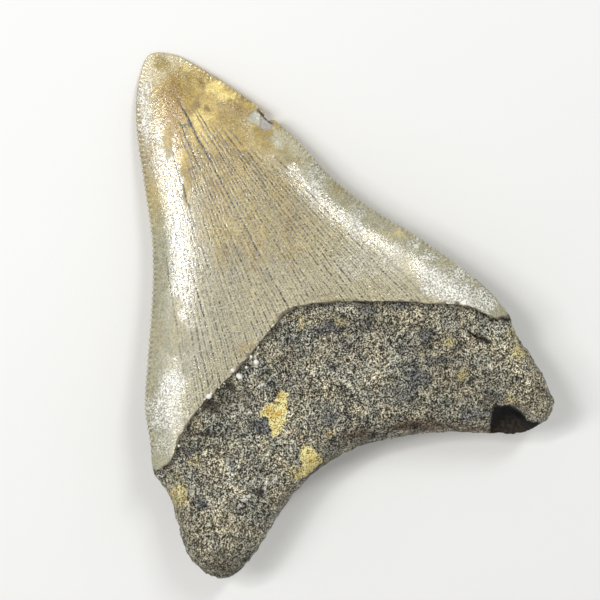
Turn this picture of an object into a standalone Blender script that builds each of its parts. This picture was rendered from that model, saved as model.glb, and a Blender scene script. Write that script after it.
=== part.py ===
"""A megalodon tooth, grown in one piece: a flat labial face, a domed lingual face, finely saw-edged
enamel down both sides, and a thick two-lobed root. It is drawn in its own plane, X across, Y from the
root lobes to the tip and Z out of the labial face, and is then laid down on its lingual side as it
rests on a table: on two worn spots of the root and on the back of the tip."""

import math

import bmesh
import bpy
import numpy as np
from mathutils import Matrix, Vector, noise

MM = 0.001

# ---- The outline in the tooth's plane, in millimetres. Each run starts where the one before it ends.
ROOT_LEFT = ((-31.5, 3.4), (-31.9, 7.2), (-31.0, 11.4), (-30.2, 16.0))
CROWN_LEFT = (
    (-30.4, 20.0), (-28.7, 24.0), (-26.9, 29.3), (-23.9, 34.3), (-20.2, 40.1), (-16.5, 46.2),
    (-13.6, 52.0), (-11.1, 58.8),
)
TIP = ((-8.7, 65.6), (-6.4, 70.8), (-3.6, 74.9), (-0.6, 77.2), (2.6, 75.5), (5.6, 71.2))
CROWN_RIGHT = (
    (8.6, 65.8), (11.3, 60.2), (13.6, 53.6), (15.3, 47.2), (18.6, 39.8), (22.6, 33.1), (26.0, 26.4),
    (28.4, 20.6),
)
ROOT_RIGHT = ((29.6, 15.2), (29.2, 12.8), (29.8, 8.0), (29.9, 3.4))
BASE = (
    (29.0, -0.6), (26.6, -1.9), (22.6, -1.7), (18.6, 0.5), (13.2, 3.6), (6.6, 6.3), (-1.5, 8.5),
    (-6.6, 8.2), (-12.8, 6.7), (-18.6, 3.6), (-23.4, 0.9), (-27.8, -0.2), (-30.3, 1.3),
)
RUNS = (ROOT_LEFT, CROWN_LEFT, TIP, CROWN_RIGHT, ROOT_RIGHT, BASE)

# ---- Where the enamel ends on each face, from the left foot of the crown to the right one.
LABIAL_ENAMEL_END = (
    (-27.4, 20.1), (-24.2, 22.7), (-20.2, 25.1), (-12.0, 27.7), (-5.2, 30.2), (0.0, 32.3),
    (5.2, 30.6), (12.4, 27.0), (19.8, 22.8), (24.6, 19.6), (27.2, 16.4),
)
LINGUAL_ROOT_TOP = ((-24.0, 22.4), (-13.0, 26.4), (0.0, 30.6), (13.0, 25.2), (24.0, 18.8))
LINGUAL_ENAMEL_END = ((-24.5, 26.0), (-13.0, 31.2), (0.0, 37.2), (13.0, 30.4), (24.0, 23.0))

# ---- Heights over the labial plane along the middle of the tooth: (distance from the base, height).
LABIAL_CROWN = ((15.0, -0.35), (31.0, 0.0), (46.0, 0.1), (62.0, -0.35), (71.0, -0.95), (77.2, -1.6))
LABIAL_ROOT = ((-2.0, -2.5), (6.0, -1.2), (14.0, -0.4), (24.0, -0.05), (33.0, 0.0))  # over the ledge's foot
LINGUAL_FACE = (
    (-2.0, -10.4), (7.0, -13.4), (15.0, -15.0), (21.0, -13.9), (29.0, -11.0), (37.0, -9.7),
    (50.0, -7.5), (62.0, -5.1), (71.0, -3.6), (77.2, -2.0),
)
CUTTING_EDGE = ((12.0, -2.6), (30.0, -2.1), (50.0, -1.8), (66.0, -1.7), (77.2, -1.8))
ROOT_RIM = -6.4

# ---- Roundings: (distance in from the rim, share of the height there).
LABIAL_SHOULDER = ((0.0, 0.0), (0.7, 0.22), (1.5, 0.44), (3.2, 0.75), (5.6, 0.94), (9.0, 1.0))
ROOT_LABIAL_ROUND = 3.4
ROOT_LINGUAL_ROUND = 7.0
ROOT_BLEND = 6.0  # how far below the crown's feet the sharp edge turns into the root's blunt side
NECK_BLEND = 13.0  # how far down the lingual face the crown's dome turns into the root's bulge

# ---- Sizes of the details.
LEDGE = 0.40  # the enamel stands this far proud of the root
BAND_LEDGE = 0.45  # and of the dark band above the root on the lingual face
LEDGE_WIDTH = 0.30
BAND_AT_EDGE = 3.0  # height of that band where it reaches the cutting edges
LOBE_THINNING = 2.2
LOBE_START = 13.0  # how far from the middle the lobes start to thin
LOBE_SPREAD = 16.0
GROOVE_DEPTH = 1.3  # the nutrient groove down the middle of the root's bulge
GROOVE_HALF = (4.2, 9.0)
GROOVE_MIDDLE = (0.0, 13.0)
DOME_FULLNESS = 0.8  # 1 is a plain sine arch across the lingual face, less is fuller
NECK_START = 2.0
CORNER_ROUNDNESS = 4.0  # higher keeps the distance from the rim sharper where two sides meet
ROOT_LUMPS = ((6.5, 0.45), (2.9, 0.42))  # (size, height) of the root's coarse and fine lumps
CALM_LUMPS = 0.25  # the share of the lumps at the line where the root ends
CALM_WIDTH = 5.0
SERRATION = 0.26  # crest to valley
STRIP = 0.75  # width of the ridged strip along the cutting edges
RINGS = (1.65, 3.15, 4.6)  # how far in from the rim the second ring, the third ring and the grid start
# Places where a piece has broken away: (middle, half width and half length, depth, share that is wall).
LABIAL_SCOOPS = (
    ((22.5, -1.3), (4.2, 5.0), 4.4, 0.50),  # the hollow in the underside of the right lobe
    ((11.2, 60.0), (3.4, 2.3), 0.7, 0.90),  # the chip out of the right cutting edge
    ((23.9, 14.9), (1.9, 1.5), 0.9, 0.80),  # a gouge below the right foot of the crown
    ((8.6, 7.2), (1.9, 1.6), 0.8, 0.80),
    ((26.0, 8.0), (1.7, 2.2), 0.7, 0.80),
    ((-24.4, 2.0), (1.9, 1.6), 0.9, 0.80),
)
LINGUAL_SCOOPS = (
    ((0.6, 15.6), (2.4, 2.4), 1.2, 1.00),  # the nutrient hole in the groove
    ((-14.0, 12.5), (2.6, 2.0), 0.6, 1.00),
    ((17.5, 8.5), (2.4, 2.2), 0.6, 1.00),
)
STEEP_WALL = 0.5
DRAWN_WITHIN = 0.45
SCOOP_FLOOR = 0.5  # no scoop comes nearer to the height of the rim than this
CHIP_NOTCH = ((11.4, 60.3), 1.2, 0.85)  # where the chip bites into the edge: (middle, half length, depth)
RESTING_FLAT = 0.40  # how deep the root's two resting spots are worn
ROOT_RESTS_BELOW = 26.0  # the root rests on the lowest points of its two halves, below this height
CLEAR_OF_MIDDLE = 6.0
TIP_RESTS_ABOVE = 55.0
SEATING_ROUNDS = 6

# ---- Grid counts.
COLUMNS = 28
ROOT_ROWS = 14
BAND_ROWS = 2
CROWN_ROWS = 31
POINTS_PER_SERRATION = 2
SERRATIONS_PER_ROW = 2
ROOT_TOP_ROW = ROOT_ROWS
BAND_TOP_ROW = ROOT_ROWS + 1 + BAND_ROWS
ROWS = BAND_TOP_ROW + 1 + CROWN_ROWS
RELAXING = 500
CLOSER_AT_LOBES = 0.075
SHARP_ABOVE = math.radians(40)

# ---- Finishes, in the order of the regions that a vertex can lie in: (name, colour, roughness).
FINISHES = (
    ("porous_root", (0.085, 0.080, 0.068, 1.0), 0.90),
    ("neck_band", (0.130, 0.098, 0.066, 1.0), 0.60),
    ("worn_enamel", (0.470, 0.430, 0.310, 1.0), 0.40),
)
ROOT, BAND, ENAMEL = range(len(FINISHES))


# ---------------------------------------------------------------- curves
def catmull_rom(points, closed=False, steps=24):
    """A smooth curve through the points, as a dense row of points, and where each given point is in it."""
    points = np.array(points, float)
    if closed:
        padded = np.vstack([points[-1:], points, points[:2]])
    else:
        padded = np.vstack([2 * points[0] - points[1], points, 2 * points[-1] - points[-2]])
    dense = []
    for a, b, c, d in zip(padded, padded[1:], padded[2:], padded[3:]):
        knots = np.cumsum([0.0] + [math.sqrt(np.linalg.norm(q - p)) for p, q in ((a, b), (b, c), (c, d))])
        t = np.linspace(knots[1], knots[2], steps, endpoint=False)[:, None]

        def between(p, q, i, j):
            return p * (knots[j] - t) / (knots[j] - knots[i]) + q * (t - knots[i]) / (knots[j] - knots[i])

        ab, bc, cd = between(a, b, 0, 1), between(b, c, 1, 2), between(c, d, 2, 3)
        dense.append(between(between(ab, bc, 0, 2), between(bc, cd, 1, 3), 1, 2))
    dense.append(points[:1] if closed else points[-1:])
    return np.vstack(dense), [i * steps for i in range(len(points) + closed)]


def along(curve, distances):
    """The points at these distances along a dense row of points."""
    steps = np.linalg.norm(np.diff(curve, axis=0), axis=1)
    length = np.concatenate([[0.0], np.cumsum(steps)])
    return np.stack([np.interp(distances, length, curve[:, k]) for k in (0, 1)], axis=-1)


def length_of(curve):
    return float(np.linalg.norm(np.diff(curve, axis=0), axis=1).sum())


def smooth_table(table, at):
    """Reads a table of (place, value) as a smooth curve."""
    curve, _ = catmull_rom(table)
    return np.interp(at, curve[:, 0], curve[:, 1])


def smooth_step(t):
    t = np.clip(t, 0.0, 1.0)
    return t * t * (3.0 - 2.0 * t)


def mix(a, b, share):
    return a + (b - a) * share


# ---------------------------------------------------------------- the outline
def run_curves():
    """The dense outline, cut into its six runs."""
    outline, places = catmull_rom([p for run in RUNS for p in run], closed=True)
    ends = np.cumsum([0] + [len(run) for run in RUNS])
    return [outline[places[a] : places[b] + 1] for a, b in zip(ends, ends[1:])]


def closer_at_ends(share):
    """Moves evenly spread shares towards both ends, where the base turns round the lobes."""
    return share - CLOSER_AT_LOBES * np.sin(2 * math.pi * share)


def row_shares(from_foot):
    """How far up a crown side each row ends: the ledge, the band, its ledge, and the rows up to the tip."""
    ledge = [LEDGE_WIDTH]
    band = [LEDGE_WIDTH + BAND_AT_EDGE * (i + 1) / BAND_ROWS for i in range(BAND_ROWS)]
    start = band[-1] + LEDGE_WIDTH
    crown = [start + (from_foot - start) * i / CROWN_ROWS for i in range(CROWN_ROWS + 1)]
    return ledge + band + crown


def perimeter():
    """The outline's grid points in order, from the left lobe over the tip and back along the base, with the
    row that each belongs to."""
    root_left, crown_left, tip, crown_right, root_right, base = run_curves()
    crown_right_up = crown_right[::-1]
    left = row_shares(length_of(crown_left))
    right = row_shares(length_of(crown_right))
    parts = [
        along(root_left, np.linspace(0, length_of(root_left), ROOT_ROWS + 1)),
        along(crown_left, left),
        along(tip, np.linspace(0, length_of(tip), COLUMNS + 1)[1:-1]),
        along(crown_right_up, right[::-1]),
        along(root_right, np.linspace(0, length_of(root_right), ROOT_ROWS + 1)),
        along(base, length_of(base) * closer_at_ends(np.linspace(0, 1, COLUMNS + 1)[1:-1])),
    ]
    up = list(range(ROWS + 1))
    rows = up + [ROWS] * (COLUMNS - 1) + up[::-1] + [0] * (COLUMNS - 1)
    return np.vstack(parts), rows


def loop_normals(points):
    """Unit normals that point out of a clockwise loop."""
    ahead = np.roll(points, -1, axis=0) - np.roll(points, 1, axis=0)
    ahead /= np.linalg.norm(ahead, axis=1)[:, None]
    return np.stack([-ahead[:, 1], ahead[:, 0]], axis=-1)


def rim_points(coarse, rows):
    """The saw edge: extra points wherever both ends of a stretch lie on a full row of the crown. It gives the
    points, which of them are crests, and the points that each stretch of the perimeter runs through."""
    curve = np.vstack(run_curves())
    fine, stretches = [], []
    per_row = SERRATIONS_PER_ROW * POINTS_PER_SERRATION
    for k, start in enumerate(coarse):
        after = (k + 1) % len(coarse)
        sawn = min(rows[k], rows[after]) > BAND_TOP_ROW
        shares = np.arange(per_row if sawn else 1) / (per_row if sawn else 1)
        a, b = (int(np.argmin(((curve - p) ** 2).sum(1))) for p in (start, coarse[after]))
        stretch = curve[a : b + 1] if b > a else np.vstack([curve[a:], curve[: b + 1]])
        stretches.append(list(range(len(fine), len(fine) + len(shares) + 1)))
        for i, share in enumerate(shares):
            point = along(stretch, share * length_of(stretch))
            fine.append((*point, i % POINTS_PER_SERRATION if sawn else 0.5))
    stretches[-1][-1] = 0
    fine = np.array(fine)
    return fine[:, :2], fine[:, 2], stretches


# ---------------------------------------------------------------- the layout of each face
def border_cells():
    """The grid cell (row, column) behind each point of the perimeter."""
    left = [(row, 0) for row in range(ROWS + 1)]
    top = [(ROWS, column) for column in range(1, COLUMNS)]
    right = [(row, COLUMNS) for row in range(ROWS, -1, -1)]
    bottom = [(0, column) for column in range(COLUMNS - 1, 0, -1)]
    return left + top + right + bottom


def straight_grid(inner_loop):
    """A first layout of the grid inside a loop, by blending its four sides."""
    side = dict(zip(border_cells(), inner_loop))
    grid = np.zeros((ROWS + 1, COLUMNS + 1, 2))
    for row in range(ROWS + 1):
        for column in range(COLUMNS + 1):
            v, u = row / ROWS, column / COLUMNS
            across = mix(side[row, 0], side[row, COLUMNS], u)
            upward = mix(side[0, column], side[ROWS, column], v)
            corners = mix(
                mix(side[0, 0], side[0, COLUMNS], u), mix(side[ROWS, 0], side[ROWS, COLUMNS], u), v
            )
            grid[row, column] = across + upward - corners
    return grid


def fixed_line(curve_points, ends, shift):
    """One row's places on a line across the face: two ring points, the grid's columns, two ring points."""
    curve, _ = catmull_rom([ends[0], *curve_points, ends[1]])
    total = length_of(curve)
    second, third, inner = RINGS
    columns = np.linspace(inner, total - inner, COLUMNS + 1)
    places = np.concatenate([[second, third], columns, [total - third, total - second]])
    return along(curve, places) - np.array([0.0, shift])


def relax(ring2, ring3, grid, pinned):
    """Evens out ring 3 and the grid between the fixed ring 2 and the pinned rows."""
    count = len(ring3)
    size = (ROWS + 1) * (COLUMNS + 1)

    def cell(row, column):
        return 2 * count + row * (COLUMNS + 1) + column

    border = [cell(*rc) for rc in border_cells()]
    points = np.vstack([ring2, ring3, grid.reshape(-1, 2)])
    links = []
    for k in range(count):
        after = (k + 1) % count
        links += [(k, count + k), (count + k, count + after), (count + k, border[k])]
    for row in range(ROWS + 1):
        for column in range(COLUMNS + 1):
            if row < ROWS:
                links.append((cell(row, column), cell(row + 1, column)))
            if column < COLUMNS:
                links.append((cell(row, column), cell(row, column + 1)))
    links = np.array(links)
    fixed = np.zeros(len(points), bool)
    fixed[:count] = True
    for row, line in pinned.items():
        left, right = row, count - COLUMNS - row  # the row's places on the two sides of the perimeter
        chosen = [count + left, *[cell(row, c) for c in range(COLUMNS + 1)], count + right]
        points[left], points[right] = line[0], line[-1]
        points[chosen] = line[1:-1]
        fixed[chosen] = True
    weight = np.zeros(len(points))
    np.add.at(weight, links[:, 0], 1)
    np.add.at(weight, links[:, 1], 1)
    for _ in range(RELAXING):
        total = np.zeros_like(points)
        np.add.at(total, links[:, 0], points[links[:, 1]])
        np.add.at(total, links[:, 1], points[links[:, 0]])
        points = np.where(fixed[:, None], points, total / weight[:, None])
    return points[:count], points[count : 2 * count], points[2 * count :].reshape(ROWS + 1, COLUMNS + 1, 2)


# ---------------------------------------------------------------- the heights of each face
def scooped(p, scoops):
    """How much is missing at each place where a piece has broken away."""
    missing = np.zeros(len(p))
    for middle, half, depth, wall in scoops:
        out = np.sqrt((((p - middle) / half) ** 2).sum(1))
        missing = np.maximum(missing, depth * smooth_step((1.0 - out) / wall))
    return missing


def drawn_to_scoops(p, scoops):
    """Draws points towards the rims of the steep-walled scoops, so that those rims come out crisp."""
    for middle, half, _, wall in scoops:
        if wall <= STEEP_WALL:
            offset = (p - middle) / half
            out = np.sqrt((offset**2).sum(1))
            gap = np.clip(out - 1.0, -DRAWN_WITHIN, DRAWN_WITHIN)
            drawn = out - gap + gap * np.abs(gap) / DRAWN_WITHIN
            p = middle + offset * (drawn / np.maximum(out, 0.1))[:, None] * half
    return p


class Shape:
    """Heights of the two faces at any place in the tooth's plane."""

    def __init__(self):
        root_left, crown_left, tip, crown_right, root_right, base = run_curves()
        half = len(tip) // 2
        self.left = np.vstack([root_left, crown_left, tip[:half]])
        self.right = np.vstack([tip[half:], crown_right, root_right])
        self.base = base

    def inward(self, p):
        """Distance in from the rim, rounded off where two sides are equally near."""
        total = 0.0
        for side in (self.left, self.right, self.base):
            nearest = np.sqrt(((p[:, None] - side[None]) ** 2).sum(-1)).min(1)
            total = total + np.maximum(nearest, 1e-4) ** -CORNER_ROUNDNESS
        return total ** (-1 / CORNER_ROUNDNESS)

    def across(self, p):
        """0 on the left edge, 1 on the right edge."""
        left = self.left[np.argsort(self.left[:, 1])]
        right = self.right[np.argsort(self.right[:, 1])]
        x0 = np.interp(p[:, 1], left[:, 1], left[:, 0])
        x1 = np.interp(p[:, 1], right[:, 1], right[:, 0])
        return np.clip((p[:, 0] - x0) / np.maximum(x1 - x0, 0.1), 0.0, 1.0)

    def below_feet(self, p):
        """0 above the crown's feet, 1 where the root's sides are fully blunt."""
        (x0, y0), (x1, y1) = CROWN_LEFT[0], ROOT_RIGHT[0]
        feet = mix(y0, y1, (p[:, 0] - x0) / (x1 - x0))
        return smooth_step((feet - p[:, 1]) / ROOT_BLEND)

    def rim_height(self, p):
        return mix(smooth_table(CUTTING_EDGE, p[:, 1]), ROOT_RIM, self.below_feet(p))

    def lumps(self, p, seed, upper_end):
        """The root's uneven surface, calmer towards the line where the root ends."""
        line, _ = catmull_rom((CROWN_LEFT[0], *upper_end, ROOT_RIGHT[0]))
        below = np.interp(p[:, 0], line[:, 0], line[:, 1]) - p[:, 1]
        rise = np.zeros(len(p))
        for size, height in ROOT_LUMPS:
            rise += height * np.array([noise.noise(Vector((x / size, y / size, seed))) for x, y in p])
        return rise * mix(CALM_LUMPS, 1.0, smooth_step(below / CALM_WIDTH))

    def labial(self, p, region):
        inward = self.inward(p)
        shoulder = smooth_table(LABIAL_SHOULDER, inward)
        blunt = np.sqrt(1 - (1 - np.clip(inward / ROOT_LABIAL_ROUND, 0, 1)) ** 2)
        crown = smooth_table(LABIAL_CROWN, p[:, 1])
        root = smooth_table(LABIAL_ROOT, p[:, 1]) - LEDGE + self.lumps(p, 1.7, LABIAL_ENAMEL_END)
        top = np.where(region == ROOT, root, crown)
        rim = self.rim_height(p)
        height = rim + (top - rim) * mix(shoulder, blunt, self.below_feet(p))
        return np.maximum(height - scooped(p, LABIAL_SCOOPS), np.minimum(height, rim + SCOOP_FLOOR))

    def lingual(self, p, region):
        inward = self.inward(p)
        dome = np.sin(math.pi * self.across(p)) ** DOME_FULLNESS
        blunt = np.sqrt(1 - (1 - np.clip(inward / ROOT_LINGUAL_ROUND, 0, 1)) ** 2)
        neck, _ = catmull_rom((CROWN_LEFT[0], *LINGUAL_ENAMEL_END, ROOT_RIGHT[0]))
        below_neck = np.interp(p[:, 0], neck[:, 0], neck[:, 1]) + NECK_START - p[:, 1]
        rootward = smooth_step(below_neck / NECK_BLEND)
        sideways = smooth_step((np.abs(p[:, 0]) - LOBE_START) / LOBE_SPREAD)
        groove = np.exp(-(((p - GROOVE_MIDDLE) / GROOVE_HALF) ** 2).sum(1))
        deep = smooth_table(LINGUAL_FACE, p[:, 1])
        deep = deep + rootward * (LOBE_THINNING * sideways + GROOVE_DEPTH * groove)
        deep = deep + np.where(region == ROOT, self.lumps(p, 5.3, LINGUAL_ROOT_TOP), 0.0)
        deep = deep + np.where(region == BAND, BAND_LEDGE, 0.0)
        rim = self.rim_height(p)
        return rim + (deep - rim) * mix(dome, blunt, rootward) + scooped(p, LINGUAL_SCOOPS)


# ---------------------------------------------------------------- the solid
def face_layout(coarse, pins):
    """Ring 2, ring 3 and the grid of one face. pins gives each ledge's lower row and the line it follows."""
    normals = loop_normals(coarse)
    ring2, ring3, inner = (coarse - normals * depth for depth in RINGS)
    grid = straight_grid(inner)
    pinned = {}
    count = len(coarse)
    for row, line in pins.items():
        left, right = coarse[row], coarse[count - COLUMNS - row]
        pinned[row] = fixed_line(line, (left, right), LEDGE_WIDTH)
        left, right = coarse[row + 1], coarse[count - COLUMNS - row - 1]
        pinned[row + 1] = fixed_line(line, (left, right), 0.0)
    return relax(ring2, ring3, grid, pinned)


def new_vert(mesh, xy, z, region):
    vert = mesh.verts.new((*xy, z))
    vert[mesh.verts.layers.int["region"]] = int(region)
    return vert


def add_face(mesh, shape, labial, coarse, rows, rim_verts, strip, stretches):
    """Adds one face of the tooth to the mesh, sewn to the vertices of the rim."""
    if labial:
        pins = {ROOT_TOP_ROW: LABIAL_ENAMEL_END}
    else:
        pins = {ROOT_TOP_ROW: LINGUAL_ROOT_TOP, BAND_TOP_ROW: LINGUAL_ENAMEL_END}
    ring2, ring3, grid = face_layout(coarse, pins)
    grid_rows = np.repeat(np.arange(ROWS + 1), COLUMNS + 1)
    fine_rows = np.zeros(len(strip), int)
    for k, stretch in enumerate(stretches):
        fine_rows[stretch[:-1]] = rows[k]
    places = np.vstack([strip, ring2, ring3, grid.reshape(-1, 2)])
    if labial:
        places = drawn_to_scoops(places, LABIAL_SCOOPS)
    row_of = np.concatenate([fine_rows, rows, rows, grid_rows])
    top_of_band = ROOT_TOP_ROW if labial else BAND_TOP_ROW
    region = np.where(row_of <= ROOT_TOP_ROW, ROOT, np.where(row_of <= top_of_band, BAND, ENAMEL))
    heights = shape.labial(places, region) if labial else shape.lingual(places, region)
    verts = [new_vert(mesh, xy, z, place) for xy, z, place in zip(places, heights, region)]

    fine, count = len(strip), len(coarse)
    strip_v, verts = verts[:fine], verts[fine:]
    ring2_v, ring3_v, grid_v = verts[:count], verts[count : 2 * count], verts[2 * count :]

    def cell(row, column):
        return grid_v[row * (COLUMNS + 1) + column]

    border = [cell(*rc) for rc in border_cells()]
    for i in range(fine):
        j = (i + 1) % fine
        mesh.faces.new((rim_verts[i], rim_verts[j], strip_v[j], strip_v[i]))
    for k, stretch in enumerate(stretches):
        after = (k + 1) % count
        outer = [strip_v[i] for i in stretch]
        mid = len(outer) // 2
        if len(outer) == 2:
            mesh.faces.new((*outer, ring2_v[after], ring2_v[k]))
        else:
            for i in range(len(outer) - 1):
                mesh.faces.new((outer[i], outer[i + 1], ring2_v[k if i < mid else after]))
            mesh.faces.new((outer[mid], ring2_v[after], ring2_v[k]))
        mesh.faces.new((ring2_v[k], ring2_v[after], ring3_v[after], ring3_v[k]))
        mesh.faces.new((ring3_v[k], ring3_v[after], border[after], border[k]))
    for row in range(ROWS):
        for column in range(COLUMNS):
            mesh.faces.new(
                (cell(row, column), cell(row + 1, column), cell(row + 1, column + 1), cell(row, column + 1))
            )


def tooth_mesh():
    """The whole tooth in its own plane, in millimetres, as a closed bmesh."""
    mesh = bmesh.new()
    regions = mesh.verts.layers.int.new("region")
    shape = Shape()
    coarse, rows = perimeter()
    rim, crest, stretches = rim_points(coarse, rows)
    out = loop_normals(rim)
    middle, half, depth = CHIP_NOTCH
    bite = depth * smooth_step(1.0 - np.linalg.norm(rim - middle, axis=1) / half)
    strip = rim - out * STRIP
    sawn = rim + out * ((crest - 0.5) * SERRATION - bite)[:, None]
    heights = shape.rim_height(rim)
    rim_verts = [new_vert(mesh, xy, z, ENAMEL) for xy, z in zip(sawn, heights)]
    add_face(mesh, shape, True, coarse, rows, rim_verts, strip, stretches)
    add_face(mesh, shape, False, coarse, rows, rim_verts, strip, stretches)
    bmesh.ops.recalc_face_normals(mesh, faces=mesh.faces)
    for face in mesh.faces:
        face.material_index = min(vert[regions] for vert in face.verts)
    return mesh


# ---------------------------------------------------------------- laying it down
def seat(mesh):
    """Turns the tooth so that it rests on its lingual side, wears the root's two resting spots flat, and puts
    the origin under the middle of its box."""
    drawn = np.array([v.co for v in mesh.verts])
    on_root = drawn[:, 1] < ROOT_RESTS_BELOW
    zones = (
        (on_root & (drawn[:, 0] < -CLEAR_OF_MIDDLE), RESTING_FLAT),
        (on_root & (drawn[:, 0] > CLEAR_OF_MIDDLE), RESTING_FLAT),
        (drawn[:, 1] > TIP_RESTS_ABOVE, 0.0),
    )
    for _ in range(SEATING_ROUNDS):
        verts = np.array([v.co for v in mesh.verts])
        lowest = [Vector(verts[zone][np.argmin(verts[zone][:, 2])]) for zone, _ in zones]
        left, right, tip = (spot + Vector((0.0, 0.0, worn)) for spot, (_, worn) in zip(lowest, zones))
        up = (right - left).cross(tip - left).normalized()
        turn = up.rotation_difference(Vector((0.0, 0.0, 1.0))).to_matrix().to_4x4()
        mesh.transform(turn @ Matrix.Translation(-left))
    for v in mesh.verts:
        v.co.z = max(v.co.z, 0.0)
    verts = np.array([v.co for v in mesh.verts])
    middle = (verts.min(0) + verts.max(0)) / 2
    mesh.transform(Matrix.Translation((-middle[0], -middle[1], 0.0)))


def paint(obj):
    for name, colour, roughness in FINISHES:
        material = bpy.data.materials.new(name)
        material.use_nodes = True
        surface = material.node_tree.nodes["Principled BSDF"]
        surface.inputs["Base Color"].default_value = colour
        surface.inputs["Roughness"].default_value = roughness
        surface.inputs["Metallic"].default_value = 0.0
        obj.data.materials.append(material)


def main():
    for old in list(bpy.data.objects):
        bpy.data.objects.remove(old)
    mesh = tooth_mesh()
    seat(mesh)
    bmesh.ops.scale(mesh, vec=(MM, MM, MM), verts=mesh.verts)
    data = bpy.data.meshes.new("tooth")
    mesh.to_mesh(data)
    mesh.free()
    tooth = bpy.data.objects.new("tooth", data)
    bpy.context.collection.objects.link(tooth)
    data.shade_smooth()
    data.set_sharp_from_angle(angle=SHARP_ABOVE)
    paint(tooth)


main()
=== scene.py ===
"""A fossil megalodon tooth, lying on its domed side on a pale table: worn beige enamel with hairline
cracks and saw edges, and a rough dark root, with a few grains of sand still stuck to it."""

import math
import random

import bpy
import numpy as np
from mathutils import Matrix, Vector, noise


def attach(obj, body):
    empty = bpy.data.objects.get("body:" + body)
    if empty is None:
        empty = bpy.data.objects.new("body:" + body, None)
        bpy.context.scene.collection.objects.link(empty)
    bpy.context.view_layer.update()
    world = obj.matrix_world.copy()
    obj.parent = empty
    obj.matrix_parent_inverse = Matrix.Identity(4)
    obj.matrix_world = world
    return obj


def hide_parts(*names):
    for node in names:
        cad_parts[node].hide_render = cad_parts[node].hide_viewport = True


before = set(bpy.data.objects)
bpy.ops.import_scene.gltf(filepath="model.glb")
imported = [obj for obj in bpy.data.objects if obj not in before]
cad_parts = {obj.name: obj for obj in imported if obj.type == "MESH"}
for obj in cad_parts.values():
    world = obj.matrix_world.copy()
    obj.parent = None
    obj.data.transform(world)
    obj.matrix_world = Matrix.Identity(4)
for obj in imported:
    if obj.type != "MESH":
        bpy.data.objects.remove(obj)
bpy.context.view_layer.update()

MM = 0.001

# The tooth's own plane, in which every place below is given in millimetres: X across the tooth, Y from the
# root lobes to the tip, Z out of the labial face. It lies on the table with its tip down.
TILT, LEAN, TURN = (math.radians(a) for a in (-11.6855, 0.1088, 0.0290))
ORIGIN = Vector((0.98794, -36.03898, 17.90514))
FROM_PLANE = Matrix.Translation(ORIGIN) @ (
    Matrix.Rotation(TURN, 4, "Z") @ Matrix.Rotation(LEAN, 4, "Y") @ Matrix.Rotation(TILT, 4, "X")
)
TO_PLANE = FROM_PLANE.inverted()

# Where the enamel ends, from the left foot of the crown to the right one.
LEFT_FOOT, RIGHT_FOOT = (-30.4, 20.0), (29.6, 15.2)
LABIAL_ENAMEL_END = (
    LEFT_FOOT, (-27.4, 20.1), (-24.2, 22.7), (-20.2, 25.1), (-12.0, 27.7), (-5.2, 30.2), (0.0, 32.3),
    (5.2, 30.6), (12.4, 27.0), (19.8, 22.8), (24.6, 19.6), (27.2, 16.4), RIGHT_FOOT,
)
LINGUAL_ROOT_TOP = (
    LEFT_FOOT, (-24.0, 22.4), (-13.0, 26.4), (0.0, 30.6), (13.0, 25.2), (24.0, 18.8), RIGHT_FOOT,
)
LINGUAL_ENAMEL_END = (
    LEFT_FOOT, (-24.5, 26.0), (-13.0, 31.2), (0.0, 37.2), (13.0, 30.4), (24.0, 23.0), RIGHT_FOOT,
)

# The meshes. Corners closer than WELD, in metres, are joined. A patch of fewer faces than SMALL_PATCH belongs
# to the side around it. SMOOTHING is how many times all faces are divided. To save memory, distances are
# worked out for BLOCK places at a time.
WELD = 1e-6
BLOCK = 4000
SMALL_PATCH = 100
SMOOTHING = 2
CUTTING_EDGE_CREASE = 0.8
# In millimetres: how far the root runs on under the enamel, how much it's sunk there, how deep the walls at
# the two open ends are, and how near the root comes to the table.
ROOT_UNDER_ENAMEL = 2.2
ENAMEL_THICKNESS = 0.45
ROOT_INSET_AT_RIM = 0.8
ENAMEL_WALL, ROOT_WALL = 0.9, 0.2
TABLE_GAP = 0.02
# Where the faces are divided once more: the labial root above this Z, and the enamel round the chip.
FINE_ROOT_ABOVE = -7.5
FINE_ENAMEL_MIDDLE, FINE_ENAMEL_RADIUS, FINE_ENAMEL_ABOVE = (9.9, 60.1), 3.0, -2.2

# The saw along both cutting edges and round the tip: the length of its teeth, the height from which they get
# shorter, how far they stand out, how deep the grooves between them are, and where the chip has taken them.
SAW_PITCH = 0.8
SAW_PITCH_AT_TIP = 0.5
SAW_SHORTER_FROM = 74.0
SAW_DEPTH = 0.3
SAW_GROOVE = 0.14
SAW_GAP_MIDDLE, SAW_GAP_RADIUS = (11.4, 60.3), 0.9
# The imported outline's points are at most this far apart where it's sawn.
LONGEST_SAW_STEP = 0.75

# The root's uneven surface: the size and height of each layer of lumps.
ROOT_LAYERS = ((2.6, 0.45), (1.1, 0.4), (0.5, 0.26))

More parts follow.
